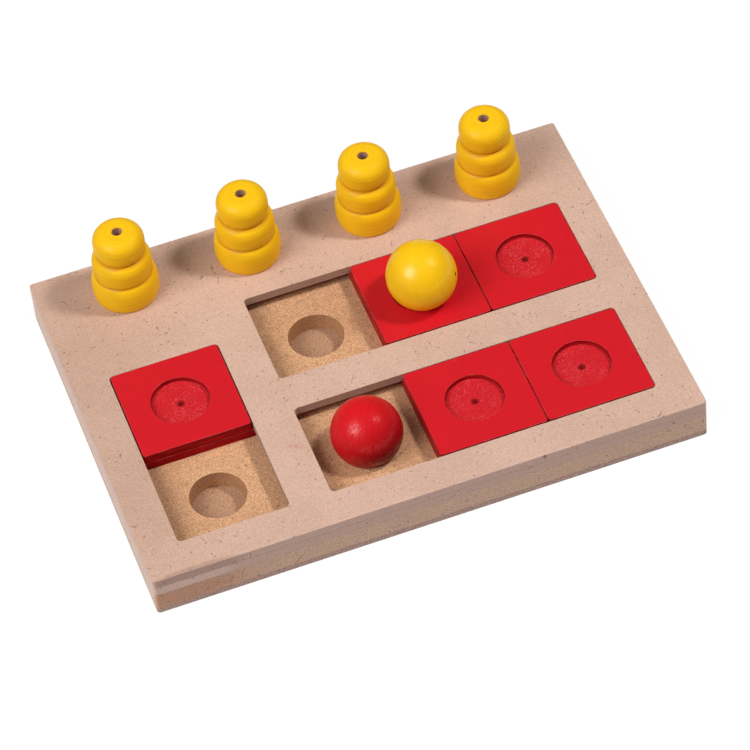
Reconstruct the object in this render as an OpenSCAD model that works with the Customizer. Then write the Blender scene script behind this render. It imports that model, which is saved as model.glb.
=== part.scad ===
// Treat puzzle board for a dog, with sliding tiles, lift-off cones and two balls.
//
// Four glued sheets make the board: a window sheet, a channel sheet, a cup sheet and a bottom
// sheet. Five tiles slide in three slots and cover eight treat cups. Four turned cones stand on
// the shelf behind the slots, each over a cup of its own, and two balls plug the play further.
//
// Millimetres, +Z up. The origin is the centre of the board's underside. +X runs along the long
// side and +Y goes back, to the cones.

/* [Tiles] */
// Side of the square top of a tile
tile_side = 49; // [40:0.5:60]
// Width of the guide rail that each tile has along both sides, under the window sheet
rail_w = 3.5; // [2:0.25:5]
// Corner radius of a tile
tile_corner_r = 1.5; // [0.5:0.25:3]
// Height of a tile's top above the board's
tile_proud = 0.2; // [0:0.1:1]
// Diameter of the shallow round recess in a tile
recess_d = 26; // [18:0.5:32]
// Depth of the recess
recess_depth = 2.5; // [1:0.25:3.5]
// Diameter of the mark that the drill's point leaves in the recess
dimple_d = 3; // [1:0.5:5]
// Depth of that mark
dimple_depth = 0.8; // [0.3:0.1:1.2]

/* [Board] */
// Board to the left, right and front of the slots
rim_w = 16.6; // [12:0.2:30]
// Board between two slots
web_w = 18.5; // [16:0.5:40]
// Shelf behind the slots, where the cones stand
shelf_w = 46.5; // [36:0.5:80]
// Radius of the board's four upright corners
board_corner_r = 1.5; // [0.5:0.25:10]
// Corner radius of the windows and channels, at least a tile's
window_corner_r = 2; // [1.5:0.25:4]
// Thickness of the window sheet, which laps over the rails
window_sheet_t = 4.5; // [3:0.25:8]
// Thickness of the channel sheet, in which the rails run
channel_sheet_t = 4.5; // [3:0.25:8]
// Thickness of the cup sheet, and so the depth of a cup under a slot
cup_sheet_t = 9; // [6:0.5:20]
// Thickness of the bottom sheet
bottom_sheet_t = 3; // [2:0.5:6]

/* [Cups] */
// Diameter of the treat cups under the slots
cup_d = 25; // [18:0.5:32]
// Diameter of the treat cups under the cones
cone_cup_d = 21; // [12:0.5:24]

/* [Cones] */
// Distance between two neighbouring cones
cone_pitch = 57; // [32:0.5:68]
// Distance from the board's back edge to the line of cones
cone_from_back = 20.5; // [16:0.5:24]
// Height of the bottom, middle and top ring of a cone
ring_h = [14, 11.7, 12.8];
// Greatest radius of the bottom, middle and top ring
ring_r = [14.9, 13.3, 11.5];
// Radius of a cone's flat foot
cone_foot_r = 13.5; // [12.5:0.25:14.5]
// Radius of the groove over the bottom ring and of the groove over the middle ring
groove_r = [12.3, 9.8];
// Radius of a cone's flat top
cone_top_r = 6.2; // [3.5:0.1:8]
// Diameter of the scent hole that is drilled down through a cone
scent_hole_d = 4.6; // [3:0.2:6]

/* [Balls] */
// Diameter of a ball
ball_d = 31.5; // [26:0.5:36]
// Diameter of the pin hole in the yellow ball
pin_hole_d = 1.4; // [0.8:0.1:3]
// Depth of the pin hole
pin_hole_depth = 6; // [2:0.5:12]
// Turn of the pin hole away from +X, where more than 0 is towards the back
pin_hole_turn = -32; // [-90:1:90]
// Rise of the pin hole above level
pin_hole_rise = 12; // [0:1:60]

/* [Clearances] */
// Gap between two neighbouring tiles
tile_gap = 0.4; // [0.2:0.1:1]
// Gap between a tile and the end of its slot
end_gap = 0.25; // [0.1:0.05:1]
// Gap between a tile and each side of its slot, and between a rail and its channel
side_gap = 0.5; // [0.2:0.1:1]
// Gap under and over a rail
rail_gap = 0.15; // [0.05:0.05:0.4]
// Gap between the yellow ball and the rim of the recess that it rests in
ball_gap = 0.25; // [0.1:0.05:0.5]
// Gap under each ball, where it rests
rest_gap = 0.05; // [0.02:0.01:0.2]

/* [Hidden] */
$fn = 96;

CUT = 1; // how far a cutting solid runs past the face that it opens

// Heights of the faces between the sheets, and of the board's top.
cup_floor_z = bottom_sheet_t;
channel_floor_z = cup_floor_z + cup_sheet_t;
window_floor_z = channel_floor_z + channel_sheet_t;
top_z = window_floor_z + window_sheet_t;
tile_top_z = top_z + tile_proud;
rail_top_z = window_floor_z - rail_gap;

// A slot is one tile wide and a whole number of bays long; a tile moves one bay at a time.
bay = tile_side + tile_gap;
slot_w = tile_side + 2 * side_gap;
channel_w = slot_w + 2 * rail_w;
function slot_l(bays) = bays * bay - tile_gap + 2 * end_gap;
ROW_BAYS = 3;
COLUMN_BAYS = 2;

// The board is as large as its slots, its rims and its shelf.
board_l = rim_w + slot_w + web_w + slot_l(ROW_BAYS) + rim_w;
board_w = rim_w + slot_w + web_w + slot_w + shelf_w;
left = -board_l / 2;
front = -board_w / 2;
back = board_w / 2;

// Middle of the left column and of each row, and the bays along them, counted from the left in
// a row and from the front in the column.
column_x = left + rim_w + slot_w / 2;
row_left = left + rim_w + slot_w + web_w;
row_x = row_left + slot_l(ROW_BAYS) / 2;
column_y = front + rim_w + slot_l(COLUMN_BAYS) / 2;
front_row_y = front + rim_w + slot_w / 2;
back_row_y = front_row_y + slot_w + web_w;
function row_bay(i, y) = [row_left + end_gap + tile_side / 2 + i * bay, y];
function column_bay(i) = [column_x, front + rim_w + end_gap + tile_side / 2 + i * bay];
CUP_PLACES = [
    for (i = [0 : COLUMN_BAYS - 1]) column_bay(i),
    for (y = [front_row_y, back_row_y], i = [0 : ROW_BAYS - 1]) row_bay(i, y)
];

// The cones stand in one line, even about the middle of the board.
CONES = 4;
cone_y = back - cone_from_back;
function cone_place(i) = [(i - (CONES - 1) / 2) * cone_pitch, cone_y];

// Outline of a cone. Each ring swells from the groove below it to its own radius and back in to
// the groove above it.
RING_STEPS = 14;
RING_FLATNESS = 2.6;
RING_FULLNESS = 1 / 1.6;
ring_z = [0, ring_h[0], ring_h[0] + ring_h[1], ring_h[0] + ring_h[1] + ring_h[2]];
neck_r = [cone_foot_r, groove_r[0], groove_r[1], cone_top_r];
function swell(t) = pow(1 - pow(abs(t), RING_FLATNESS), RING_FULLNESS);
function ring_point(i, t) =
    let (neck = t < 0 ? neck_r[i] : neck_r[i + 1])
    [neck + (ring_r[i] - neck) * swell(t), ring_z[i] + ring_h[i] * (1 + t) / 2];
function ring_outline(i) = [
    for (k = [(i == 0 ? 0 : 1) : RING_STEPS]) ring_point(i, -cos(180 * k / RING_STEPS))
];
CONE_OUTLINE = concat(
    [[scent_hole_d / 2, 0]],
    ring_outline(0), ring_outline(1), ring_outline(2),
    [[scent_hole_d / 2, ring_z[3]]]
);

// A ball on a round hole rests on the hole's rim, or on its floor if it reaches that first.
ball_r = ball_d / 2;
function rest_z(hole_r, rim_z, floor_z) =
    rest_gap + max(
        floor_z + ball_r,
        ball_r > hole_r ? rim_z + sqrt(pow(ball_r, 2) - pow(hole_r, 2)) : 0
    );
red_ball_place = concat(
    row_bay(0, front_row_y),
    rest_z(cup_d / 2, channel_floor_z, cup_floor_z)
);

// The yellow ball lies on the floor of its tile's recess, rolled forward against the rim.
recess_floor_z = tile_top_z - recess_depth;
recess_reach = ball_r > recess_depth
    ? sqrt(pow(ball_r, 2) - pow(ball_r - recess_depth, 2))
    : ball_r;
yellow_ball_roll = max(0, recess_d / 2 - recess_reach - ball_gap);
yellow_ball_place = concat(
    row_bay(1, back_row_y) - [0, yellow_ball_roll],
    rest_z(recess_d / 2, tile_top_z, recess_floor_z)
);

// A flat l by w plate outline with its corners rounded to r.
module rounded_plate(l, w, r) {
    square([l - 2 * r, w], center = true);
    square([l, w - 2 * r], center = true);
    for (x = [-1, 1], y = [-1, 1])
        translate([x * (l / 2 - r), y * (w / 2 - r)]) circle(r);
}

// One sheet of the board, uncut.
module sheet(z, t) {
    translate([0, 0, z]) linear_extrude(t) rounded_plate(board_l, board_w, board_corner_r);
}

// The three slots as one cutter, w wide across the way that the tiles move.
module slots(w, z, t) {
    translate([0, 0, z]) linear_extrude(t) {
        translate([column_x, column_y]) rounded_plate(w, slot_l(COLUMN_BAYS), window_corner_r);
        for (y = [front_row_y, back_row_y])
            translate([row_x, y]) rounded_plate(slot_l(ROW_BAYS), w, window_corner_r);
    }
}

// The upper part of the cups under the cones, bored down from the board's top.
module cone_cups(z) {
    for (i = [0 : CONES - 1])
        translate(concat(cone_place(i), z)) cylinder(h = top_z - z + CUT, d = cone_cup_d);
}

module window_sheet() {
    color("#d9b99b") difference() {
        sheet(window_floor_z, window_sheet_t);
        slots(slot_w, window_floor_z - CUT, window_sheet_t + 2 * CUT);
        cone_cups(window_floor_z - CUT);
    }
}

module channel_sheet() {
    color("#b99a84") difference() {
        sheet(channel_floor_z, channel_sheet_t);
        slots(channel_w, channel_floor_z - CUT, channel_sheet_t + 2 * CUT);
        cone_cups(channel_floor_z - CUT);
    }
}

module cup_sheet() {
    color("#cfa77c") difference() {
        sheet(cup_floor_z, cup_sheet_t);
        for (place = CUP_PLACES)
            translate(concat(place, cup_floor_z - CUT))
                cylinder(h = cup_sheet_t + 2 * CUT, d = cup_d);
    }
}

module bottom_sheet() {
    color("#9c7350") sheet(0, bottom_sheet_t);
}

// The square top of a tile, which fills the window, with its recess and drill mark.
module tile_top(place) {
    color("#cf1f27") translate(place) difference() {
        translate([0, 0, rail_top_z])
            linear_extrude(tile_top_z - rail_top_z)
                rounded_plate(tile_side, tile_side, tile_corner_r);
        translate([0, 0, recess_floor_z]) cylinder(h = recess_depth + CUT, d = recess_d);
        translate([0, 0, recess_floor_z - dimple_depth])
            cylinder(h = dimple_depth, d1 = 0, d2 = dimple_d);
    }
}

// The lower plate of a tile, whose two long edges are its rails. It moves along X, or along Y
// after a turn of 90.
module tile_rails(place, turn = 0) {
    color("#a8171f") translate(concat(place, channel_floor_z + rail_gap)) rotate(turn)
        linear_extrude(rail_top_z - channel_floor_z - rail_gap)
            rounded_plate(tile_side, tile_side + 2 * rail_w, tile_corner_r);
}

module cone(i) {
    color("#f2b417") translate(concat(cone_place(i), top_z))
        rotate_extrude() polygon(CONE_OUTLINE);
}

module yellow_ball() {
    color("#f4bf1a") translate(yellow_ball_place) difference() {
        sphere(ball_r);
        rotate([0, -pin_hole_rise, pin_hole_turn])
            rotate([0, 90, 0])
                translate([0, 0, ball_r - pin_hole_depth])
                    cylinder(h = pin_hole_depth + CUT, d = pin_hole_d);
    }
}

module red_ball() {
    color("#d8232a") translate(red_ball_place) sphere(ball_r);
}

window_sheet();
channel_sheet();
cup_sheet();
bottom_sheet();
tile_top(column_bay(1));  // left_tile_top
tile_rails(column_bay(1), 90);  // left_tile_rails
tile_top(row_bay(1, back_row_y));  // back_middle_tile_top
tile_rails(row_bay(1, back_row_y));  // back_middle_tile_rails
tile_top(row_bay(2, back_row_y));  // back_right_tile_top
tile_rails(row_bay(2, back_row_y));  // back_right_tile_rails
tile_top(row_bay(1, front_row_y));  // front_middle_tile_top
tile_rails(row_bay(1, front_row_y));  // front_middle_tile_rails
tile_top(row_bay(2, front_row_y));  // front_right_tile_top
tile_rails(row_bay(2, front_row_y));  // front_right_tile_rails
cone(0);  // outer_left_cone
cone(1);  // inner_left_cone
cone(2);  // inner_right_cone
cone(3);  // outer_right_cone
yellow_ball();
red_ball();
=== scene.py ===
# %% [markdown]
# # A treat puzzle for a dog
# A flat fibreboard has three slots. Red tiles slide in the slots, four turned cones and two
# balls lift off, and treats hide in the round cups below them. This lesson dresses the packed
# model. Each piece gets a surface worked out with numpy, at the size and place that the packed
# model gives, and then a finish made of shader nodes. The model comes first, because everything
# else is measured from it.

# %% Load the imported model
import math

import bpy
import numpy as np
from mathutils import Matrix, Vector, geometry


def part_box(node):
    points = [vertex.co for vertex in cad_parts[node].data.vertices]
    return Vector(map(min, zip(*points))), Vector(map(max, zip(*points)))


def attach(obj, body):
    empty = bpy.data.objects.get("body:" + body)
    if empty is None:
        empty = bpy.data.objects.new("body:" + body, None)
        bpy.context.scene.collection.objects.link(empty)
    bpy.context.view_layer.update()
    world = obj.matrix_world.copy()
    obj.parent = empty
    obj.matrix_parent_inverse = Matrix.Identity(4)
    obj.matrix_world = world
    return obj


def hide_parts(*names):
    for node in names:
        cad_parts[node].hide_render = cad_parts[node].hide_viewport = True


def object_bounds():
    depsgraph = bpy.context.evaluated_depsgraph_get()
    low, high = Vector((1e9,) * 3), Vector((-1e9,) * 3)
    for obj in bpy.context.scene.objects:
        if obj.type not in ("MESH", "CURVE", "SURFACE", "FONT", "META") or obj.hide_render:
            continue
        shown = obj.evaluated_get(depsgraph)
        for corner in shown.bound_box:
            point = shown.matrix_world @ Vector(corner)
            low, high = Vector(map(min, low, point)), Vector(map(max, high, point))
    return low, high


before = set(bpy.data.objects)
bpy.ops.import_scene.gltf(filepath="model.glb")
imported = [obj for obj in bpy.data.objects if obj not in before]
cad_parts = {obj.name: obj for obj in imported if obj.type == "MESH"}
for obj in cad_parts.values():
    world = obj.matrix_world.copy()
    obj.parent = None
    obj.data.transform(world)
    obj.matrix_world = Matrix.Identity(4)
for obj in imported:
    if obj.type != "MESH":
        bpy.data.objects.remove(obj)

scene = bpy.context.scene
cad_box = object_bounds()
MM = 0.001  # metres in a millimetre

# %% [markdown]
# ## The camera
# The real toy was photographed from above its front left corner with a long lens. A camera can
# be placed by eye, or its place can be solved from points whose true positions are known. Here
# the corners of the board and of its slots were the known points, which gives the place, the
# three turns and the focal length. The picture is part of a wider one, so the lens's axis
# doesn't go through its middle, and a small sideways shift stands for that.

# %% Camera
PHOTO_SIDE = 750  # pixels
FOCAL_PIXELS = 4147.0
AXIS_COLUMN = 450.0  # the column of pixels that the lens's axis goes through
SENSOR_MM = 36.0
CAMERA_PLACE = Vector((-301.6, -1156.0, 1377.9)) * MM
CAMERA_TURN, CAMERA_DROP, CAMERA_LEAN = (math.radians(a) for a in (16.40, 49.21, -5.23))


def camera_axes(turn, drop, lean):
    """Axes of a camera that looks along +Y, turned towards +X by turn and down by drop, in
    radians. forward = (cos drop sin turn, cos drop cos turn, -sin drop). The level right and up
    axes are then rotated about forward by lean."""
    forward = Vector((math.cos(drop) * math.sin(turn), math.cos(drop) * math.cos(turn),
                      -math.sin(drop)))
    level = forward.cross(Vector((0, 0, 1))).normalized()
    upright = level.cross(forward)
    right = math.cos(lean) * level + math.sin(lean) * upright
    up = math.cos(lean) * upright - math.sin(lean) * level
    return right, up, -forward


lens = bpy.data.cameras.new("photo_camera")
lens.sensor_width = SENSOR_MM
lens.lens = FOCAL_PIXELS / PHOTO_SIDE * SENSOR_MM
lens.shift_x = -(AXIS_COLUMN - PHOTO_SIDE / 2) / PHOTO_SIDE
lens.clip_start, lens.clip_end = 0.1, 50
camera = bpy.data.objects.new("photo_camera", lens)
axes = Matrix(camera_axes(CAMERA_TURN, CAMERA_DROP, CAMERA_LEAN)).transposed()
camera.matrix_world = Matrix.Translation(CAMERA_PLACE) @ axes.to_4x4()
scene.collection.objects.link(camera)
scene.camera = camera
print(f"lens {lens.lens:.0f} mm, shift {lens.shift_x:.3f}")

# %% [markdown]
# ## Profiles
# A sawn and sanded plate has a flat top, an upright wall and, between them, an arris that
# sandpaper has eased. A Bevel modifier could round the arrises, but a profile carried along the
# plate's outline gives the wall and both arrises at once, with exact normals, so the flat faces
# stay flat in the light. A profile is a table with one row for each of its points: how far out
# it is, how high it is, and the two parts of its normal.

# %% Profiles
ARC_STEPS = 4


def arc(centre, radius, start, stop):
    """Rows of a round part of a profile. A point is centre + radius (cos a, sin a), for angles
    a from start to stop in degrees, and its normal is (cos a, sin a). A negative radius gives a
    hollow arc, with the same points and each normal turned round."""
    a = np.radians(np.linspace(start, stop, ARC_STEPS + 1))
    ray = np.column_stack([np.cos(a), np.sin(a)])
    return np.hstack([np.asarray(centre) + abs(radius) * ray, math.copysign(1, radius) * ray])


def eased_wall(low, high, ease, foot=None):
    """Profile of a plate's wall from its lower face to its upper one: a quarter circle of radius
    ease at each arris, joined by a straight line. foot is the lower arris's own radius."""
    foot = foot or ease
    return np.vstack([arc((-foot, low + foot), foot, -90, 0),
                      arc((-ease, high - ease), ease, 0, 90)])


def free_profile(points):
    """Profile through points (out, up). The normal at a point is the mean of the directions to
    the next point and from the last one, turned a quarter to the right."""
    steps = np.diff(points, axis=0)
    steps = steps / np.linalg.norm(steps, axis=1, keepdims=True)
    along = np.vstack([steps[:1], steps[:-1] + steps[1:], steps[-1:]])
    along = along / np.linalg.norm(along, axis=1, keepdims=True)
    return np.column_stack([points, along[:, 1], -along[:, 0]])


def travelled(profile):
    """Distance along a profile from its first point to each of its points."""
    steps = np.linalg.norm(np.diff(profile[:, :2], axis=0), axis=1)
    return np.concatenate([[0], np.cumsum(steps)])


print("points in an eased wall:", len(eased_wall(0, 1, 0.1)))

# %% [markdown]
# ## Paths and the carried surface
# A router cuts the slots, so their corners keep the cutter's radius, and the cups are round. Both
# outlines are closed paths with a normal at each point. An opening's path runs the other way
# round, with its normals into the opening, so that one rule serves outer walls and inner walls.

# %% Paths
CORNER_STEPS = 6


def rounded_rectangle(centre, size, radius, opening=False):
    """Closed path of a rectangle with rounded corners, as rows (x, y, normal x, normal y). Corner
    k is the arc from 90 k to 90 k + 90 degrees about the point that is one radius inside both
    sides, and straight sides join the arcs."""
    corner = np.repeat(np.arange(4), CORNER_STEPS + 1)
    a = np.radians(90 * corner + np.tile(np.linspace(0, 90, CORNER_STEPS + 1), 4))
    ray = np.column_stack([np.cos(a), np.sin(a)])
    sides = np.array([(1, 1), (-1, 1), (-1, -1), (1, -1)])[corner]
    points = np.asarray(centre) + sides * (np.asarray(size) / 2 - radius) + radius * ray
    path = np.hstack([points, ray])
    return path[::-1] * (1, 1, -1, -1) if opening else path


def circle(centre, radius, opening=False, steps=96):
    """Closed path of a circle: centre + radius (cos a, sin a), with the normal (cos a, sin a)."""
    a = np.linspace(0, 2 * math.pi, steps, endpoint=False)
    ray = np.column_stack([np.cos(a), np.sin(a)])
    path = np.hstack([np.asarray(centre) + radius * ray, ray])
    return path[::-1] * (1, 1, -1, -1) if opening else path


def carry(profile, path):
    """Surface of a profile carried along a path. Its point for profile row (out, up) and path
    row (x, y, nx, ny) is (x + out nx, y + out ny, up), and the normal turns with the path in the
    same way. Returns points and normals, each a grid of profile rows by path rows."""
    out, up, turn_out, turn_up = (profile[:, None, k:k + 1] for k in range(4))
    place, ray = path[None, :, :2], path[None, :, 2:]
    level = np.ones(place.shape[:2] + (1,))
    points = np.concatenate([place + out * ray, up * level], axis=2)
    normals = np.concatenate([turn_out * ray, turn_up * level], axis=2)
    return points, normals


print("points around a cup:", len(circle((0, 0), 1)))

# %% [markdown]
# ## From grids to a closed mesh
# A real piece is a solid, so its mesh has to be closed. Each piece is gathered in a shell:
# grids for the carried surfaces, and flat faces between their end rings. Points in the same
# place are welded, which also closes the poles, and every point keeps the exact normal that its
# formula gave. Marks are numbers on the points that the finishes read later, such as where
# an arris is.

# %% Shells
WELD = 1e-7  # metres: points closer than this are one point


class Shell:
    """The points, normals, marks and faces of one closed surface."""

    def __init__(self):
        self.points, self.normals, self.quads, self.triangles = [], [], [], []
        self.marks = {"along": [], "raw": [], "deep": []}
        self.count = 0

    def grid(self, points, normals, closed=False, **marks):
        """Adds a grid that closes on itself around the path, and in the other direction too
        where closed is true. A mark is one number, or one for each profile row: along is a
        distance, raw is 1 where a tool cut the surface, and deep is 1 in a crease or a pit."""
        rows, around = points.shape[:2]
        index = self.count + np.arange(rows * around).reshape(rows, around)
        self.count += rows * around
        self.points.append(points.reshape(-1, 3))
        self.normals.append(normals.reshape(-1, 3))
        for name, store in self.marks.items():
            row = np.broadcast_to(marks.get(name, 0.0), rows)
            store.append(np.repeat(row, around).astype(float))
        start = np.vstack([index, index[:1]]) if closed else index
        beside = np.roll(start, -1, axis=1)
        self.quads.append(np.stack([start[:-1], beside[:-1], beside[1:], start[1:]],
                                   axis=-1).reshape(-1, 4))
        return index

    def flat(self, rings, facing_up):
        """Fills the level region between rings of points. Triangles whose turn disagrees with
        facing_up are reversed: the turn is the sign of the cross product of two sides."""
        points = np.concatenate(self.points)
        index = np.concatenate(rings)
        found = np.array(geometry.tessellate_polygon([points[r].tolist() for r in rings]))
        a, b, c = (points[index[found[:, k]], :2] for k in range(3))
        area = np.cross(b - a, c - a)
        found = found[np.abs(area) > WELD ** 2]
        area = area[np.abs(area) > WELD ** 2]
        found = np.where(((area > 0) == facing_up)[:, None], found, found[:, ::-1])
        self.triangles.append(index[found])

    def build(self, name, turn=None, shift=(0, 0, 0)):
        """Welds the points, turns and shifts them, and returns the object. The marks arris and
        cut come from the normals: cut is the level part of the normal, 1 on a wall and 0 on a
        flat, and arris is (2 level upright) squared, 1 halfway round an eased edge."""
        points, normals = np.concatenate(self.points), np.concatenate(self.normals)
        normals = normals / np.linalg.norm(normals, axis=1, keepdims=True)
        level, upright = np.linalg.norm(normals[:, :2], axis=1), np.abs(normals[:, 2])
        marks = {name: np.concatenate(store) for name, store in self.marks.items()}
        marks |= {"cut": level, "arris": (2 * level * upright) ** 2}
        cells = np.round(points / WELD).astype(np.int64)
        _, first, place = np.unique(cells, axis=0, return_index=True, return_inverse=True)
        place = place.reshape(-1)
        quads = place[np.concatenate(self.quads)]
        sides = quads != np.roll(quads, -1, axis=1)
        faces = quads[sides.all(axis=1)].tolist()
        pinched = quads[sides.sum(axis=1) == 3]
        kept = sides[sides.sum(axis=1) == 3]
        faces += pinched[kept].reshape(-1, 3).tolist()
        if self.triangles:
            faces += place[np.concatenate(self.triangles)].tolist()
        turn = np.eye(3) if turn is None else np.asarray(turn)
        mesh = bpy.data.meshes.new(name)
        mesh.from_pydata(points[first] @ turn.T + np.asarray(shift), [], faces)
        for mark, values in marks.items():
            layer = mesh.attributes.new(mark, "FLOAT", "POINT")
            layer.data.foreach_set("value", values[first].astype(np.float32))
        mesh.shade_smooth()
        mesh.normals_split_custom_set_from_vertices(normals[first] @ turn.T)
        piece = bpy.data.objects.new(name, mesh)
        scene.collection.objects.link(piece)
        return piece


print("marks on a shell:", ", ".join(Shell().marks), "cut and arris")

# %% What a piece stands for
def finish_piece(piece, node, body, material):
    """Says what a piece stands for, what it moves with and what it is finished in."""
    piece.data.materials.append(material)
    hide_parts(node)
    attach(piece, body)
    low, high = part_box(node)
    corners = np.array([v.co for v in piece.data.vertices])
    stray = max(np.abs(corners.min(0) - low).max(), np.abs(corners.max(0) - high).max())
    print(f"{piece.name}: {len(piece.data.polygons)} faces, box off by {stray / MM:.3f} mm")


def axis_of(node):
    """Middle of a node's box."""
    low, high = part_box(node)
    return (low + high) / 2


print("left tile is at", tuple(round(v / MM, 2) for v in axis_of("left_tile_top")))

# %% [markdown]
# ## Helpers for the finishes
# A finish is a tree of shader nodes. Nodes can be added one by one with every socket set by
# hand, but a few short helpers make the trees readable: one adds a node and fills its sockets,
# one does arithmetic, and one mixes two colours.

# %% Node helpers
def add(tree, kind, sockets=None, **settings):
    """Adds a node of that kind. sockets fills inputs by name or number with a value or with the
    output of another node, and settings are the node's own options."""
    node = tree.nodes.new(kind)
    for option, value in settings.items():
        setattr(node, option, value)
    for socket, value in (sockets or {}).items():
        if isinstance(value, bpy.types.NodeSocket):
            tree.links.new(value, node.inputs[socket])
        else:
            node.inputs[socket].default_value = value
    return node


def maths(tree, operation, first, second=0.0, clamp=False):
    """Output of a Math node."""
    return add(tree, "ShaderNodeMath", {0: first, 1: second}, operation=operation,
               use_clamp=clamp).outputs[0]


def times(tree, first, second):
    """Output of a Math node that multiplies."""
    return maths(tree, "MULTIPLY", first, second)


def blend(tree, factor, first, second, how="MIX"):
    """Colour output of a Mix node: first where factor is 0 and second where it is 1."""
    return add(tree, "ShaderNodeMix", {0: factor, 6: first, 7: second}, data_type="RGBA",
               blend_type=how).outputs[2]


def shaded(tree, colour, shade):
    """A colour made lighter or darker by a number."""
    grey = add(tree, "ShaderNodeCombineColor", {0: shade, 1: shade, 2: shade}).outputs[0]
    return blend(tree, 1.0, colour, grey, "MULTIPLY")


def step_between(tree, value, start, stop, low=0.0, high=1.0):
    """Map Range output: low below start, high above stop, smooth between them."""
    return add(tree, "ShaderNodeMapRange",
               {"Value": value, "From Min": start, "From Max": stop, "To Min": low,
                "To Max": high}, interpolation_type="SMOOTHSTEP").outputs["Result"]


def noise(tree, vector, scale, detail, roughness=0.5):
    """Value of a Noise Texture, about 0.5 on average. scale is in waves to a metre, and detail
    is how many finer layers are added to it."""
    return add(tree, "ShaderNodeTexNoise", {"Vector": vector, "Scale": scale, "Detail": detail,
                                            "Roughness": roughness}).outputs[0]


print("helpers for numbers and colours ready")

# %% Helpers for places on a piece
def stretched(tree, vector, scale, turn=0.0, about="Z", middle=(0, 0, 0)):
    """A vector measured from middle along axes that are turned by an angle in degrees, and then
    scaled by a different amount along each of them. A Mapping node of the texture kind does it
    in that order, and divides by its Scale."""
    turns = tuple(math.radians(turn) if axis == about else 0.0 for axis in "XYZ")
    return add(tree, "ShaderNodeMapping",
               {"Vector": vector, "Location": middle, "Rotation": turns,
                "Scale": tuple(1 / s for s in scale)}, vector_type="TEXTURE").outputs[0]


def soft_spot(tree, middle, reach, turn=0.0, about="Z", core=0.3):
    """1 in the core of an oval about middle and 0 outside it. reach is its three half sizes."""
    here = add(tree, "ShaderNodeTexCoord").outputs["Object"]
    oval = stretched(tree, here, tuple(1 / r for r in reach), turn, about, middle)
    length = add(tree, "ShaderNodeVectorMath", {0: oval}, operation="LENGTH").outputs["Value"]
    return step_between(tree, length, core, 1.0, 1.0, 0.0)


def mark(tree, name):
    """Value of one of the marks that the shells put on their points."""
    return add(tree, "ShaderNodeAttribute", attribute_name=name).outputs["Fac"]


print("helpers for places ready")

# %% Helpers for groups and materials
def new_group(name, inputs, outputs):
    """An empty node group with number sockets. inputs gives each input's usual value."""
    tree = bpy.data.node_groups.new(name, "ShaderNodeTree")
    for socket, value in inputs.items():
        made = tree.interface.new_socket(socket, in_out="INPUT", socket_type="NodeSocketFloat")
        made.default_value = value
    for socket in outputs:
        tree.interface.new_socket(socket, in_out="OUTPUT", socket_type="NodeSocketFloat")
    return tree, tree.nodes.new("NodeGroupInput").outputs, tree.nodes.new("NodeGroupOutput")


def put_group(tree, group, **values):
    """Places a group in a material. An underscore in a name stands for a space."""
    node = tree.nodes.new("ShaderNodeGroup")
    node.node_tree = group
    for socket, value in values.items():
        node.inputs[socket.replace("_", " ")].default_value = value
    return node.outputs


def new_material(name, **constants):
    """A material with a fresh Principled shader, whose constant sockets are set here."""
    material = bpy.data.materials.new(name)
    material.use_nodes = True
    tree = material.node_tree
    tree.nodes.clear()
    shader = tree.nodes.new("ShaderNodeBsdfPrincipled")
    for socket, value in constants.items():
        shader.inputs[socket.replace("_", " ")].default_value = value
    out = tree.nodes.new("ShaderNodeOutputMaterial")
    tree.links.new(shader.outputs[0], out.inputs["Surface"])
    return material, tree, shader


def relief(tree, shader, height, depth):
    """Feeds a height into the shader's normal. depth is how far, in metres, a height of 1 is."""
    bump = add(tree, "ShaderNodeBump", {"Height": height, "Distance": depth, "Strength": 1.0})
    tree.links.new(bump.outputs[0], shader.inputs["Normal"])


print("helpers for groups and materials ready")

# %% [markdown]
# ## Fibreboard, cut and uncut
# Fibreboard is pressed wood fluff. Its sanded face shows a fine felt of short fibres that lie
# every way, with a few dark flecks of bark, and a cut through it is coarser and darker. Both are
# the same stuff at different strengths, so one group gives the felt, and each board's
# material picks the amounts. The short fibres are three layers of noise, each stretched along a
# different direction.

# %% Group: felt of fibres
felt_group, given, gives = new_group(
    "fibre_felt", {"Fibres per Metre": 260.0, "Flecks per Metre": 270.0, "Fleck Share": 0.3},
    ("Grain", "Fibres", "Flecks", "Patches"))
felt = felt_group
here = add(felt, "ShaderNodeTexCoord").outputs["Object"]
layers = [noise(felt, stretched(felt, here, (1, 5, 5), turn), given["Fibres per Metre"], 2.0)
          for turn in (12, 74, 131)]
longest = maths(felt, "MAXIMUM", maths(felt, "MAXIMUM", layers[0], layers[1]), layers[2])
felt.links.new(step_between(felt, longest, 0.58, 0.78), gives.inputs["Fibres"])
felt.links.new(noise(felt, here, 2300.0, 1.0, 0.6), gives.inputs["Grain"])
felt.links.new(noise(felt, here, 38.0, 3.0, 0.55), gives.inputs["Patches"])
cell = add(felt, "ShaderNodeTexVoronoi",
           {"Vector": stretched(felt, here, (1, 1.6, 1), 35), "Scale": given["Flecks per Metre"]})
# A fleck is a small ball about a cell's point, where the cell's own chance is low enough.
near = step_between(felt, cell.outputs["Distance"], 0.07, 0.18, 1.0, 0.0)
chance = add(felt, "ShaderNodeSeparateColor", {0: cell.outputs["Color"]}).outputs[0]
dark = maths(felt, "SUBTRACT", 1.5, maths(felt, "DIVIDE", chance, given["Fleck Share"]), True)
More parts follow.
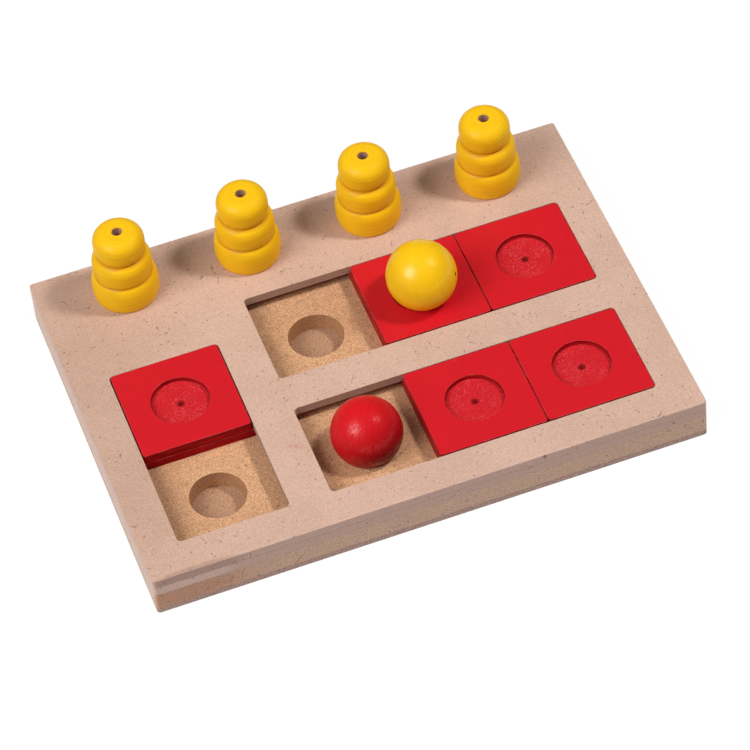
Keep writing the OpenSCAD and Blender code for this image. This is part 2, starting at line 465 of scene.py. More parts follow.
# A hair is a stretch of a line along which a slow noise passes through its mean.
level_line = maths(felt, "ABSOLUTE", maths(felt, "SUBTRACT", noise(felt, here, 75.0, 0.0), 0.5))
hair = times(felt, step_between(felt, level_line, 0.0, 0.009, 1.0, 0.0),
             step_between(felt, noise(felt, here, 330.0, 0.0), 0.60, 0.68))
specks = maths(felt, "MAXIMUM", times(felt, near, dark), times(felt, hair, 0.8))
felt.links.new(specks, gives.inputs["Flecks"])
print("group:", felt_group.name, len(felt_group.nodes), "nodes")

# %% [markdown]
# Sandpaper and paws rub the arrises of every piece, board and paint alike, and the same paler
# mark also stands for a painted highlight along the arrises. Wear could be painted by hand, but
# the shells already mark each arris, and noise breaks that mark into patches.

# %% Group: rubbed arrises and their painted highlight
rub_and_highlight_group, given, gives = new_group("rubbed_and_highlit_arris", {"Amount": 0.5, "Patches per Metre": 220.0},
                                    ("Rub and Highlight",))
here = add(rub_and_highlight_group, "ShaderNodeTexCoord").outputs["Object"]
patchy = noise(rub_and_highlight_group, here, given["Patches per Metre"], 3.0, 0.6)
edge = times(rub_and_highlight_group, mark(rub_and_highlight_group, "arris"), given["Amount"])
rub_and_highlight_mask = maths(rub_and_highlight_group, "SUBTRACT", maths(rub_and_highlight_group, "ADD", edge, patchy), 0.55)
rub_and_highlight_group.links.new(step_between(rub_and_highlight_group, rub_and_highlight_mask, 0.1, 0.5), gives.inputs["Rub and Highlight"])
print("group:", rub_and_highlight_group.name)

# %% [markdown]
# ## The board's four sheets
# Four glued sheets make the board. The window sheet on top laps over the tiles' rails, the
# channel sheet gives the rails room, the cup sheet is bored through, and the bottom sheet closes
# the cups. Each sheet could be a block with holes cut by Boolean modifiers. Walls carried along
# paths are cleaner: no stray points, and each arris is eased. The sizes below repeat the part's
# own, and the board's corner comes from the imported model.

# %% Sizes of the openings
TILE, TILE_GAP, END_GAP, SIDE_GAP = 49 * MM, 0.4 * MM, 0.25 * MM, 0.5 * MM
RIM, WEB, RAIL = 16.6 * MM, 18.5 * MM, 3.5 * MM
OPENING_RADIUS, BOARD_RADIUS = 2 * MM, 1.5 * MM
CUP_RADIUS, CONE_CUP_RADIUS = 12.5 * MM, 10.5 * MM
BAY, SLOT = TILE + TILE_GAP, TILE + 2 * SIDE_GAP
CONE_NODES = ("outer_left_cone", "inner_left_cone", "inner_right_cone", "outer_right_cone")


def slot_run(bays):
    """Length of a slot: its bays, less the gap after the last tile, plus a gap at each end."""
    return bays * BAY - TILE_GAP + 2 * END_GAP


board_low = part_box("window_sheet")[0]
column_x = board_low.x + RIM + SLOT / 2
rows_left = board_low.x + RIM + SLOT + WEB
front_y = board_low.y + RIM + SLOT / 2
back_y = front_y + SLOT + WEB
SLOTS = [(column_x, board_low.y + RIM + slot_run(2) / 2, 1, 2),
         (rows_left + slot_run(3) / 2, front_y, 3, 1),
         (rows_left + slot_run(3) / 2, back_y, 3, 1)]


def slot_paths(lap):
    """Openings of the three slots. lap is how much wider than a window a channel is."""
    across = SLOT + lap
    return [rounded_rectangle((x, y), (slot_run(nx) if nx > 1 else across,
                                       slot_run(ny) if ny > 1 else across),
                              OPENING_RADIUS, opening=True)
            for x, y, nx, ny in SLOTS]


def bay_middles(x, y, nx, ny):
    """Middles of a slot's bays, one bay apart and even about the slot's own middle."""
    return [(x + (i - (nx - 1) / 2) * BAY, y + (j - (ny - 1) / 2) * BAY)
            for i in range(nx) for j in range(ny)]


CUPS = [middle for slot in SLOTS for middle in bay_middles(*slot)]
CONE_PLACES = [tuple(axis_of(node)[:2]) for node in CONE_NODES]
print("slots:", len(SLOTS), "cups:", len(CUPS), "cones:", len(CONE_PLACES))

# %% [markdown]
# The photograph shows the sheets' faces in different tones. The top face is sanded, pale and
# pinkish. The floor of the slots is a coarser, yellower face, and the floor of the cups is
# smooth again. The sawn edge is mauve brown above and yellow brown below. So each sheet has a
# face tone and a cut tone, and one function writes the tree for all four.

# %% Finish: fibreboard
GRAIN_SPREAD = 0.2  # the grain's noise stays within about half of this of its mean
BARK = (0.17, 0.07, 0.04, 1)


def fibreboard(name, face, shade, sawn, bored, grain=0.09, fibres=0.07, flecks=0.4,
               depth=0.02):
    """Material of a sheet. The felt moves the tone between face and shade, the mark cut turns
    it to sawn on outer walls and to bored on the walls of openings, and flecks darken it. grain
    and fibres are how much the fine grain and the fibres lighten or darken it, and depth is the
    relief in millimetres. The saw leaves the outer walls smoother than the rest."""
    material, tree, shader = new_material(name, Specular_IOR_Level=0.35)
    felt = put_group(tree, felt_group, Fleck_Share=flecks)
    rub_and_highlight = put_group(tree, rub_and_highlight_group, Amount=0.35)["Rub and Highlight"]
    patches = step_between(tree, felt["Patches"], 0.38, 0.62)
    tone = blend(tree, patches, face, shade)
    wall = blend(tree, mark(tree, "raw"), sawn, bored)
    tone = blend(tree, mark(tree, "cut"), tone, wall)
    light = times(tree, maths(tree, "SUBTRACT", felt["Grain"], 0.5), 2 * grain / GRAIN_SPREAD)
    light = maths(tree, "SUBTRACT", light, times(tree, felt["Fibres"], fibres))
    # Rubbed arrises are a little paler: wear, and a painted highlight along them.
    light = maths(tree, "ADD", light, times(tree, rub_and_highlight, 0.06))
    tone = shaded(tree, tone, maths(tree, "ADD", light, 1.0))
    tone = blend(tree, times(tree, felt["Flecks"], 0.85), tone, BARK)
    tree.links.new(tone, shader.inputs["Base Color"])
    smooth = maths(tree, "SUBTRACT", mark(tree, "cut"), mark(tree, "raw"), True)
    smooth = maths(tree, "SUBTRACT", 1.0, times(tree, smooth, 0.35))
    rough = step_between(tree, felt["Grain"], 0.3, 0.7, 0.52, 0.74)
    tree.links.new(times(tree, rough, smooth), shader.inputs["Roughness"])
    height = maths(tree, "ADD", felt["Grain"], times(tree, felt["Fibres"], 0.4))
    relief(tree, shader, height, depth * MM)
    return material, tree, shader


window_finish, window_tree, window_shader = fibreboard(
    "sanded_fibreboard", (0.655, 0.432, 0.332, 1), (0.620, 0.405, 0.309, 1),
    (0.690, 0.445, 0.360, 1), (0.450, 0.285, 0.222, 1))
# The channel sheet's opening walls are almost black: painted shade in the undercut beneath the
# window sheet's lap.
channel_finish, channel_tree, channel_shader = fibreboard(
    "channel_fibreboard", (0.55, 0.33, 0.22, 1), (0.50, 0.30, 0.20, 1),
    (0.690, 0.440, 0.350, 1), (0.080, 0.040, 0.028, 1))
cup_finish, cup_tree, cup_shader = fibreboard(
    "cut_fibreboard", (0.650, 0.358, 0.192, 1), (0.580, 0.310, 0.165, 1),
    (0.740, 0.465, 0.330, 1), (0.500, 0.265, 0.130, 1), grain=0.19, fibres=0.14,
    flecks=0.5, depth=0.045)
bottom_finish = fibreboard(
    "bottom_fibreboard", (0.480, 0.270, 0.163, 1), (0.450, 0.248, 0.147, 1),
    (0.540, 0.340, 0.275, 1), (0.54, 0.34, 0.275, 1), grain=0.28, fibres=0.20, flecks=0.6,
    depth=0.05)[0]
print("fibreboard finishes: 4")

# %% [markdown]
# The face isn't quite even. It is a little darker along its left edge, and a faint red scuff runs
# across the web by the front slot, where a painted piece has rubbed the board. Each lies in one
# place, so a soft oval on Object coordinates marks it, and stretched noise breaks the scuff into
# streaks.

# %% The dull left edge and the red scuff
def retouch(tree, shader, amount, colour, how="MIX"):
    """Blends one more tone over a finished material's colour, or tints it where how says so."""
    plain = shader.inputs["Base Color"].links[0].from_socket
    tree.links.new(blend(tree, amount, plain, colour, how), shader.inputs["Base Color"])


left_edge = soft_spot(window_tree, (-125 * MM, -5 * MM, 21 * MM), (60 * MM, 150 * MM, 9 * MM))
retouch(window_tree, window_shader, left_edge, (0.91, 0.89, 0.87, 1), "MULTIPLY")
SCUFF_PLACE, SCUFF_TURN = (-45.5 * MM, -44.5 * MM, 21 * MM), -29.0
inside = soft_spot(window_tree, SCUFF_PLACE, (5.3 * MM, 1.8 * MM, 3 * MM), SCUFF_TURN)
here = add(window_tree, "ShaderNodeTexCoord").outputs["Object"]
drawn_out = stretched(window_tree, here, (1, 3, 1), SCUFF_TURN)
streaks = step_between(window_tree, noise(window_tree, drawn_out, 900.0, 3.0), 0.42, 0.62)
scuffed = times(window_tree, inside, streaks)
retouch(window_tree, window_shader, times(window_tree, scuffed, 0.5), (0.55, 0.10, 0.08, 1))
print("scuff at", SCUFF_PLACE)

# %% [markdown]
# The front edge isn't even either. At its left end the channel sheet is paler and bluer, a
# painted sheen, and the sheets above and below it are darker, and further on a few crooked
# scratches cross it. Each is one more soft oval, long and thin for a scratch and turned in the
# plane of the edge.

# %% Marks on the front edge
def edge_mark(tree, shader, x, z, reach, turn, colour, how="MIX", core=0.3):
    """An oval tone on the front edge at x and z, in millimetres. reach is its half length and
    half width, and turn is how steeply it climbs to the right, in degrees. A mixed tone lets
    some of the board through, and a tint is multiplied in full."""
    spot = soft_spot(tree, (x * MM, cad_box[0][1], z * MM),
                     (reach[0] * MM, 3 * MM, reach[1] * MM), -turn, "Y", core)
    strength = SCRATCH_SHARE if how == "MIX" else 1.0
    retouch(tree, shader, times(tree, spot, strength), colour, how)


SCRATCH, SCRATCH_SHARE = (0.20, 0.10, 0.06, 1), 0.65
FIRM = 0.6  # how much of an oval's reach is its core, where its end has to show
edge_mark(window_tree, window_shader, -106, 18.5, (24, 6), 0, (0.80, 0.77, 0.75, 1),
          "MULTIPLY", FIRM)
# Painted sheen: the channel sheet's edge is paler and bluer at its left end.
edge_mark(channel_tree, channel_shader, -108, 14.2, (22, 6), 0, (1.12, 1.20, 1.26, 1),
          "MULTIPLY", FIRM)
edge_mark(cup_tree, cup_shader, -114, 7.5, (44, 10), 0, (0.84, 0.68, 0.58, 1), "MULTIPLY")
edge_mark(cup_tree, cup_shader, -62, 5, (7, 0.4), 48, SCRATCH)
edge_mark(cup_tree, cup_shader, -91.5, 7, (4, 0.4), 68, SCRATCH)
edge_mark(window_tree, window_shader, -82, 18, (3, 0.35), 85, SCRATCH)
edge_mark(channel_tree, channel_shader, 109, 15, (0.7, 0.5), 0, SCRATCH)
print("marks on the front edge: 7")

# %% [markdown]
# With the finishes ready, the sheets are built. Each is a plate: a wall around it, a wall in each
# opening, and a flat face above and below. A router leaves an opening's rim sharper than its
# foot.

# %% Build the four sheets
RIM_EASE, FOOT_EASE = 0.1 * MM, 0.3 * MM


def plate(paths, low, high, ease):
    """Shell of a plate: eased walls along every path, and a flat face above and below. The
    first path is the outline, and the rest are openings, whose walls are marked raw."""
    shell = Shell()
    outer = eased_wall(low, high, ease)
    inner = eased_wall(low, high, min(ease, RIM_EASE), FOOT_EASE)
    rings = [shell.grid(*carry(inner if k else outer, path), raw=float(k > 0))
             for k, path in enumerate(paths)]
    shell.flat([ring[0] for ring in rings], False)
    shell.flat([ring[-1] for ring in rings], True)
    return shell


cone_cups = [circle(place, CONE_CUP_RADIUS, opening=True) for place in CONE_PLACES]
treat_cups = [circle(place, CUP_RADIUS, opening=True) for place in CUPS]
SHEETS = {  # material slot, finish, radius of the eased arrises in millimetres, openings
    "window_sheet": ("mdf_face", window_finish, 0.25, slot_paths(0) + cone_cups),
    "channel_sheet": ("mdf_edge_dark", channel_finish, 0.1, slot_paths(2 * RAIL) + cone_cups),
    "cup_sheet": ("mdf_core", cup_finish, 0.12, treat_cups),
    "bottom_sheet": ("mdf_bottom", bottom_finish, 0.25, []),
}
for node, (slot, finish, ease, openings) in SHEETS.items():
    low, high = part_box(node)
    outline = rounded_rectangle(((low + high) / 2)[:2], (high - low)[:2], BOARD_RADIUS)
    shell = plate([outline] + openings, low.z, high.z, ease * MM)
    finish_piece(shell.build("visual_" + node), node, "board", finish)

# %% [markdown]
# ## The sliding tiles
# A tile is two glued squares of painted board. The top one has a round recess cut by a flat
# drill, whose point leaves a small mark in the middle and whose edge leaves fine rings on the
# floor. The recess is one profile from that mark out to the rim, carried round a circle, so the
# rings are real relief. The lower square is wider on two sides, and those are the rails.

# %% Finish: red paint
def paint_film(tree, shade_amount, peel):
    """Slow change of tone in a coat of paint and its fine orange peel. Returns both."""
    here = add(tree, "ShaderNodeTexCoord").outputs["Object"]
    slow = noise(tree, here, 120.0, 3.0, 0.6)
    shade = maths(tree, "ADD", 1 - shade_amount / 2, times(tree, slow, shade_amount))
    fine = noise(tree, here, 900.0, 2.0, 0.6)
    return shade, times(tree, fine, peel)


red_finish, tree, shader = new_material("red_tile_paint")
here = add(tree, "ShaderNodeTexCoord").outputs["Object"]
shade, peel = paint_film(tree, 0.12, 0.5)
rough, wall = mark(tree, "raw"), mark(tree, "cut")
crumb = noise(tree, here, 1900.0, 2.0, 0.7)
pale_crumb_patches = step_between(tree, noise(tree, here, 130.0, 1.0), 0.35, 0.65, 0.25, 1.0)
# On the cut floor the paint is fuzzy. Its crumbs are pale, partly their own tone and partly a
# painted highlight, and between them it is darker, a painted shade.
pale_crumbs_and_highlight = times(tree, step_between(tree, crumb, 0.53, 0.66), pale_crumb_patches)
dark = step_between(tree, crumb, 0.36, 0.46, 1.0, 0.0)
tone = blend(tree, times(tree, rough, times(tree, pale_crumbs_and_highlight, 0.62)),
             (0.635, 0.010, 0.018, 1), (0.86, 0.17, 0.18, 1))
tone = blend(tree, times(tree, rough, times(tree, dark, 0.2)), tone, (0.36, 0.004, 0.008, 1))
# The upright sides are darker, in thin level bands.
plies = noise(tree, stretched(tree, here, (0.05, 0.05, 1)), 1300.0, 2.0, 0.6)
tone = blend(tree, times(tree, wall, 0.9), tone,
             blend(tree, step_between(tree, plies, 0.42, 0.66), (0.24, 0.003, 0.005, 1),
                   (0.50, 0.012, 0.014, 1)))
# Painted shade: the drill's pit is almost black.
tone = blend(tree, times(tree, mark(tree, "deep"), 0.95), tone, (0.17, 0.002, 0.003, 1))
# The arrises are pale, partly rubbed paint and partly a painted glint along the rims, but not
# the fillet and the pit down in the recess.
rub_and_highlight = times(tree, put_group(tree, rub_and_highlight_group, Amount=0.5)["Rub and Highlight"],
               maths(tree, "SUBTRACT", 1.0, rough))
tone = blend(tree, times(tree, rub_and_highlight, 0.4), tone, (0.86, 0.25, 0.22, 1))
tree.links.new(shaded(tree, tone, shade), shader.inputs["Base Color"])
matter = maths(tree, "ADD", times(tree, rough, 0.12), times(tree, mark(tree, "deep"), 0.4))
tree.links.new(maths(tree, "ADD", 0.38, matter), shader.inputs["Roughness"])
tree.links.new(maths(tree, "SUBTRACT", 0.28, times(tree, wall, 0.25)),
               shader.inputs["Specular IOR Level"])
deep_crumb = maths(tree, "ADD", times(tree, rough, 1.4), 0.03)
fuzz = times(tree, crumb, deep_crumb)
relief(tree, shader, maths(tree, "ADD", fuzz, times(tree, peel, 0.12)), 0.16 * MM)
print("finish:", red_finish.name)

# %% Build the tiles
TILE_RADIUS, TILE_EASE, RAIL_EASE = 1.5 * MM, 0.2 * MM, 0.25 * MM
RECESS_RADIUS, RECESS_DEPTH, FILLET = 13 * MM, 2.5 * MM, 0.45 * MM
MARK_RADIUS, MARK_DEPTH = 1.5 * MM, 0.8 * MM
DRILL_RINGS, DRILL_RELIEF = 1.15 * MM, 0.02 * MM
PIT_SHADE = 1.6  # how far out the pit's dark paint reaches, in radii of the drill's mark


def recess_profile(top):
    """Profile of a recess from its middle to its rim, for a path that is the rim with normals
    to the middle. The floor is level but for rings, relief cos(2 pi r / spacing), and for the
    drill point's mark, a cone that runs out smoothly. A hollow fillet joins floor and wall."""
    floor = top - RECESS_DEPTH
    lip = MARK_RADIUS * 1.3  # the points are closer together up to here
    r = np.concatenate([np.linspace(0, lip, 12)[:-1],
                        np.linspace(lip, RECESS_RADIUS - FILLET, 44)])
    cone = np.clip(1 - r / MARK_RADIUS, 0, 1)
    fade = np.clip((r / MARK_RADIUS - 1) / 2, 0, 1) * np.clip(
        (RECESS_RADIUS - FILLET - r) / DRILL_RINGS, 0, 1)
    up = floor - MARK_DEPTH * cone + DRILL_RELIEF * fade * np.cos(2 * math.pi * r / DRILL_RINGS)
    bed = free_profile(np.column_stack([RECESS_RADIUS - r, up]))
    bed[:, 2:] *= np.sign(bed[:, 3:])
    wall = np.vstack([arc((FILLET, floor + FILLET), -FILLET, 270, 180)[1:],
                      arc((-TILE_EASE, top - TILE_EASE), TILE_EASE, 0, 90)])
    return np.vstack([bed, wall])


for tile in ("left_tile", "back_middle_tile", "back_right_tile", "front_middle_tile",
             "front_right_tile"):
    node = tile + "_top"
    low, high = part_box(node)
    middle = ((low + high) / 2)[:2]
    shell = Shell()
    outline = rounded_rectangle(middle, (high - low)[:2], TILE_RADIUS)
    outer = shell.grid(*carry(eased_wall(low.z, high.z, TILE_EASE), outline))
    profile = recess_profile(high.z)
    sunk = (profile[:, 1] < high.z - 0.5 * MM).astype(float)
    pit = np.clip(PIT_SHADE - (RECESS_RADIUS - profile[:, 0]) / MARK_RADIUS, 0, 1) * sunk
    recess = shell.grid(*carry(profile, circle(middle, RECESS_RADIUS, opening=True, steps=144)),
                        raw=sunk, deep=pit)
    shell.flat([outer[0]], False)
    shell.flat([outer[-1], recess[-1]], True)
    finish_piece(shell.build("visual_" + node), node, tile, red_finish)
    node = tile + "_rails"
    low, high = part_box(node)
    outline = rounded_rectangle(((low + high) / 2)[:2], (high - low)[:2], TILE_RADIUS)
    shell = plate([outline], low.z, high.z, RAIL_EASE)
    finish_piece(shell.build("visual_" + node), node, tile, red_finish)

# %% [markdown]
# ## The turned cones
# Each cone is turned from one piece of wood: three rings, one over another, with a hole bored
# down the axis so that the smell of the treat comes out. A lathe makes a round shape from one
# outline, and so does this cell: it carries the outline round the axis. The same formula as the
# part's own gives each ring, with more points.

# %% Groups for turned wood under paint
lathe_group, given, gives = new_group("lathe_lines", {"Lines per Metre": 900.0},
                                      ("Lines", "Grain"))
here = add(lathe_group, "ShaderNodeTexCoord").outputs["Object"]
line_place = times(lathe_group, mark(lathe_group, "along"), given["Lines per Metre"])
waver = times(lathe_group, noise(lathe_group, here, 60.0, 1.0), 0.6)
lines = add(lathe_group, "ShaderNodeTexNoise",
            {"W": maths(lathe_group, "ADD", line_place, waver), "Scale": 1.0, "Detail": 2.0},
            noise_dimensions="1D").outputs[0]
lathe_group.links.new(lines, gives.inputs["Lines"])
grain_lines = noise(lathe_group, stretched(lathe_group, here, (1, 1, 0.10), 14, "Y"), 1250.0, 1.0)
lathe_group.links.new(grain_lines, gives.inputs["Grain"])
print("group:", lathe_group.name)

# %% Finish: paint on turned wood
def turned_paint(name, colour, deep, coat, lines, grain, bare=(0.52, 0.29, 0.22, 1)):
    """Material of a painted, turned piece. lines and grain are how much of the lathe's lines
    and of the wood's grain shows through, in the relief and a little in the tone. The creases
    are darker, a painted shade, and bare is the tone of the wood in a hole."""
    material, tree, shader = new_material(name, Roughness=0.50, Specular_IOR_Level=0.10,
                                          Coat_Roughness=0.24)
    wood = put_group(tree, lathe_group)
    shade, peel = paint_film(tree, 0.10, 0.4)
    tone = blend(tree, step_between(tree, wood["Lines"], 0.35, 0.75, 0.0, 0.7), colour, deep)
    # Painted shade: the creases are darker.
    tone = blend(tree, times(tree, mark(tree, "deep"), 0.75), tone,
                 tuple(v * d for v, d in zip(deep, (0.62, 0.42, 0.4))) + (1,))
    wood_shade = maths(tree, "ADD", 0.7, times(tree, wood["Grain"], 0.6))
    tone = blend(tree, mark(tree, "raw"), shaded(tree, tone, shade),
                 shaded(tree, bare, wood_shade))
    tree.links.new(tone, shader.inputs["Base Color"])
    height = maths(tree, "ADD", times(tree, wood["Lines"], lines),
                   times(tree, wood["Grain"], grain))
    relief(tree, shader, maths(tree, "ADD", height, times(tree, peel, 0.3)), 0.05 * MM)
    broken = step_between(tree, wood["Grain"], 0.44, 0.60, 1.0 - min(grain, 0.95), 1.0)
    tree.links.new(times(tree, broken, coat), shader.inputs["Coat Weight"])
    return material, tree, shader


cone_finish = turned_paint("yellow_cone_paint", (0.970, 0.560, 0.006, 1),
                           (0.900, 0.470, 0.016, 1), coat=0.09, lines=0.6, grain=0.25)[0]
print("finish:", cone_finish.name)

# %% Build the cones
RING_HEIGHTS = np.array([14, 11.7, 12.8]) * MM
RING_RADII = np.array([14.9, 13.3, 11.5]) * MM
NECK_RADII = np.array([13.5, 12.3, 9.8, 6.2]) * MM
FLATNESS, FULLNESS, RING_STEPS = 2.6, 1 / 1.6, 28
HOLE_RADIUS, HOLE_EASE, CREASE_WIDTH = 2.3 * MM, 0.4 * MM, 0.7 * MM


def ring_outline(k):
    """Outline of ring k: r = neck + (radius - neck) (1 - |t|^flatness)^fullness, at height
    ring base + ring height (1 + t) / 2, where t = -cos a for a from 0 to half a turn."""
    t = -np.cos(np.linspace(0, math.pi, RING_STEPS + 1))
    neck = np.where(t < 0, NECK_RADII[k], NECK_RADII[k + 1])
    swell = np.clip(1 - np.abs(t) ** FLATNESS, 0, 1) ** FULLNESS
    base = RING_HEIGHTS[:k].sum()
    return np.column_stack([neck + (RING_RADII[k] - neck) * swell,
                            base + RING_HEIGHTS[k] * (1 + t) / 2])


def cone_profile():
    """Closed profile of a cone: across the foot, up the three rings, over the top and down the
    hole, whose two rims are eased. Returns the profile and two marks for its rows: which lie in
    the hole, and how deep in a crease each is, 1 - distance to the crease / its width."""
    top = RING_HEIGHTS.sum()
    rings = np.vstack([ring_outline(0), ring_outline(1)[1:], ring_outline(2)[1:]])
    rim = HOLE_RADIUS + HOLE_EASE
    outside = free_profile(np.vstack([(rim, 0), (NECK_RADII[0] - MM, 0), rings,
                                      (NECK_RADII[3] - MM, top), (rim, top)]))
    over = arc((rim, top - HOLE_EASE), HOLE_EASE, 90, 180)
    under = arc((rim, HOLE_EASE), HOLE_EASE, 180, 270)
    profile = np.vstack([outside, over[1:], under[:-1]])
    bored = (np.arange(len(profile)) >= len(outside) + ARC_STEPS - 1).astype(float)
    creases = RING_HEIGHTS.cumsum()[:2]
    away = np.abs(profile[:, 1:2] - creases).min(axis=1)
    return profile, bored, np.clip(1 - away / CREASE_WIDTH, 0, 1) * (1 - bored)


profile, bored, creased = cone_profile()
for node in CONE_NODES:
    low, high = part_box(node)
    shell = Shell()
    points, normals = carry(profile, circle((0, 0), 0))
    shell.grid(points, normals, closed=True, along=travelled(profile), raw=bored,
               deep=creased)
    middle = (low + high) / 2
    piece = shell.build("visual_" + node, shift=(middle.x, middle.y, low.z))
    finish_piece(piece, node, node, cone_finish)

# %% [markdown]
# ## The two balls
# The balls are turned too, and dipped in a glossier paint. The yellow one has a pin hole where
# the pin held it while it dried. A sphere could be a ready-made one, but a half circle carried
# round the pin's axis puts the poles where the hole is, and the hole's wall joins on smoothly.

# %% Finish and build: balls
# The wood in the yellow ball's pin hole is darker than the cones' bare wood: its own tone,
# darkened further as painted shade in the hole.
yellow_gloss = turned_paint("yellow_ball_paint", (0.980, 0.575, 0.004, 1),
                            (0.950, 0.530, 0.008, 1), coat=0.5, lines=0.05, grain=0.05,
                            bare=(0.24, 0.085, 0.010, 1))[0]
red_gloss, tree, shader = turned_paint("red_ball_paint", (0.720, 0.009, 0.015, 1),
                                       (0.640, 0.006, 0.010, 1), coat=0.6, lines=0.10,
                                       grain=1.2)
# Painted shade: the paint is darker towards the ball's lower right front side.
painted_shade_spot = soft_spot(tree, tuple(axis_of("red_ball") + Vector((8, -10, -10)) * MM),
                (32 * MM, 32 * MM, 32 * MM), core=0.1)
retouch(tree, shader, times(tree, painted_shade_spot, 0.85), (0.120, 0.001, 0.001, 1))
PIN_RADIUS, PIN_DEPTH, PIN_EASE = 0.7 * MM, 6 * MM, 0.2 * MM
PIN_TURN, PIN_RISE = math.radians(-32), math.radians(12)
BALL_STEPS = 72


def ball_profile(radius, pin):
    """Profile of a ball from its lower pole to its upper one: (radius sin a, -radius cos a).
    With a pin hole it stops at the hole's rim, which is eased, and goes down the hole's wall and
    across its floor to the axis."""
    last = math.pi if not pin else math.pi - math.asin((PIN_RADIUS + PIN_EASE) / radius)
    a = np.linspace(0, last, BALL_STEPS + 1)
    ray = np.column_stack([np.sin(a), -np.cos(a)])
    sphere = np.hstack([radius * ray, ray])
    if not pin:
        return sphere, np.zeros(len(sphere))
    rim = math.sqrt(radius ** 2 - (PIN_RADIUS + PIN_EASE) ** 2)
    lip = arc((PIN_RADIUS + PIN_EASE, rim - PIN_EASE), PIN_EASE, 90, 180)[1:]
    floor = radius - PIN_DEPTH
    hole = np.array([(PIN_RADIUS, floor + 0.1 * MM, -1, 0), (PIN_RADIUS, floor, -0.7, 0.7),
                     (PIN_RADIUS - 0.1 * MM, floor, 0, 1), (0, floor, 0, 1)])
    profile = np.vstack([sphere, lip, hole])
    return profile, (np.arange(len(profile)) >= len(sphere)).astype(float)


def pin_axis():
    """Turn that takes +Z to the pin hole's direction, PIN_RISE above level and turned by
    PIN_TURN from +X."""
    way = Vector((math.cos(PIN_RISE) * math.cos(PIN_TURN),
                  math.cos(PIN_RISE) * math.sin(PIN_TURN), math.sin(PIN_RISE)))
    return way.to_track_quat("Z", "Y").to_matrix()


for node, slot, finish, pin in (("yellow_ball", "yellow_gloss_paint", yellow_gloss, True),
                                ("red_ball", "red_gloss_paint", red_gloss, False)):
    low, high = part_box(node)
    profile, bored = ball_profile((high.z - low.z) / 2, pin)
    shell = Shell()
    points, normals = carry(profile, circle((0, 0), 0, steps=128))
    shell.grid(points, normals, along=travelled(profile), raw=bored)
    piece = shell.build("visual_" + node, turn=pin_axis(), shift=(low + high) / 2)
    finish_piece(piece, node, node, finish)

# %% [markdown]
# ## Floor, light and background
# The toy stands on white in a studio. Two soft boxes light it, and each shows as a soft glint on
# the balls. Mirroring the view about the ball's normal at a glint gives the way to that box:
# the larger one is on the left, and the smaller one, on the right, throws the cones' shadows. The
# white round the object is the colour of the floor and of the sky as the camera sees them, so
# that the lamps needn't be brighter than the paint can bear.

# %% Floor
FLOOR_HALF, FLOOR_Z = 6.0, -0.02 * MM
floor_mesh = bpy.data.meshes.new("floor")
floor_mesh.from_pydata([(x * FLOOR_HALF, y * FLOOR_HALF, FLOOR_Z)
                        for x, y in ((-1, -1), (1, -1), (1, 1), (-1, 1))], [], [(0, 1, 2, 3)])
floor = bpy.data.objects.new("floor", floor_mesh)
scene.collection.objects.link(floor)


def ray_kinds(tree):
    """Two outputs: 1 for rays from the camera, and 1 for rays that gloss or glass sends on."""
    path = add(tree, "ShaderNodeLightPath").outputs
    sent_on = maths(tree, "MAXIMUM", path["Is Glossy Ray"], path["Is Transmission Ray"])
    return path["Is Camera Ray"], sent_on


floor_finish = bpy.data.materials.new("white_floor")
floor_finish.use_nodes = True
tree = floor_finish.node_tree
tree.nodes.clear()
matt = add(tree, "ShaderNodeBsdfDiffuse", {"Color": (0.5, 0.5, 0.5, 1)}).outputs[0]
WHITE_GLOW = 1.12
WHITE_SHARE = 0.84  # of what the camera sees of the floor; the rest keeps the shadow
glow = add(tree, "ShaderNodeEmission",
           {"Color": (1, 1, 1, 1), "Strength": WHITE_GLOW}).outputs[0]
share = times(tree, maths(tree, "MAXIMUM", *ray_kinds(tree)), WHITE_SHARE)
both = add(tree, "ShaderNodeMixShader", {0: share, 1: matt, 2: glow})
add(tree, "ShaderNodeOutputMaterial", {"Surface": both.outputs[0]})
floor_mesh.materials.append(floor_finish)
print("floor at", FLOOR_Z / MM, "mm")

# %% Soft boxes and sky
AIM = Vector((0, 0, 20)) * MM


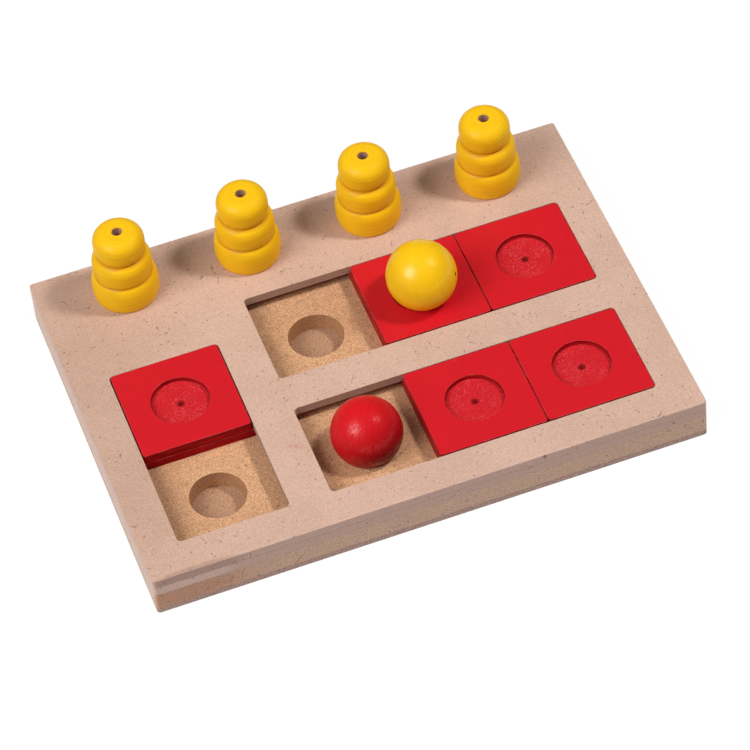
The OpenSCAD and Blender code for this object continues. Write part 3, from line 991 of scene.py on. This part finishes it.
def soft_box(name, way, distance, size, strength, lights):
    """Area lamp in direction way from the point AIM, facing it. strength is its brightness,
    where 1 is the brightness of lit white paper, so its power is strength pi width height.
    lights says if it gives the matt light or the glints."""
    lamp = bpy.data.lights.new(name, "AREA")
    lamp.shape = "RECTANGLE"
    lamp.size, lamp.size_y = size
    lamp.energy = strength * math.pi * size[0] * size[1]
    box = bpy.data.objects.new(name, lamp)
    way = Vector(way).normalized()
    box.location = AIM + way * distance
    box.rotation_mode = "QUATERNION"
    box.rotation_quaternion = way.to_track_quat("Z", "Y")
    box.visible_diffuse, box.visible_glossy = lights == "matt", lights == "glints"
    scene.collection.objects.link(box)


# Each box is two lamps in one direction: one gives the matt light and one the glints.
LEFT_WAY = (-0.675, -0.212, 0.708)
soft_box("left_soft_box", LEFT_WAY, 1.8, (1.05, 1.05), 6.7, "matt")
soft_box("left_glint_box", LEFT_WAY, 1.8, (0.95, 0.95), 10.0, "glints")
RIGHT_WAY = (0.52, -0.13, 0.845)
soft_box("right_spot", RIGHT_WAY, 1.6, (0.20, 0.22), 96.0, "matt")
soft_box("right_glint_box", RIGHT_WAY, 1.6, (0.40, 0.54), 6.5, "glints")
SKY_LOW, SKY_HIGH = 0.05, 0.25  # brightness of the fill light from the horizon and from above
SKY_WHITE = 1.02
world = bpy.data.worlds.new("studio")
world.use_nodes = True
scene.world = world
tree = world.node_tree
tree.nodes.clear()
rise = add(tree, "ShaderNodeSeparateXYZ",
           {0: add(tree, "ShaderNodeTexCoord").outputs["Generated"]}).outputs["Z"]
fill = maths(tree, "ADD", SKY_LOW, times(tree, SKY_HIGH - SKY_LOW, rise), True)
seen, gloss = ray_kinds(tree)
# A gloss mirrors a bright horizon and a dim sky above it.
mirrored = times(tree, step_between(tree, rise, 0.02, 0.16, 0.40, 0.04), SKY_WHITE)
level = maths(tree, "ADD", times(tree, gloss, mirrored),
              times(tree, maths(tree, "SUBTRACT", 1.0, gloss), fill))
level = maths(tree, "ADD", times(tree, seen, SKY_WHITE),
              times(tree, maths(tree, "SUBTRACT", 1.0, seen), level))
sky = add(tree, "ShaderNodeBackground", {"Color": (1, 1, 1, 1), "Strength": level})
add(tree, "ShaderNodeOutputWorld", {"Surface": sky.outputs[0]})
scene.view_settings.view_transform = "Standard"
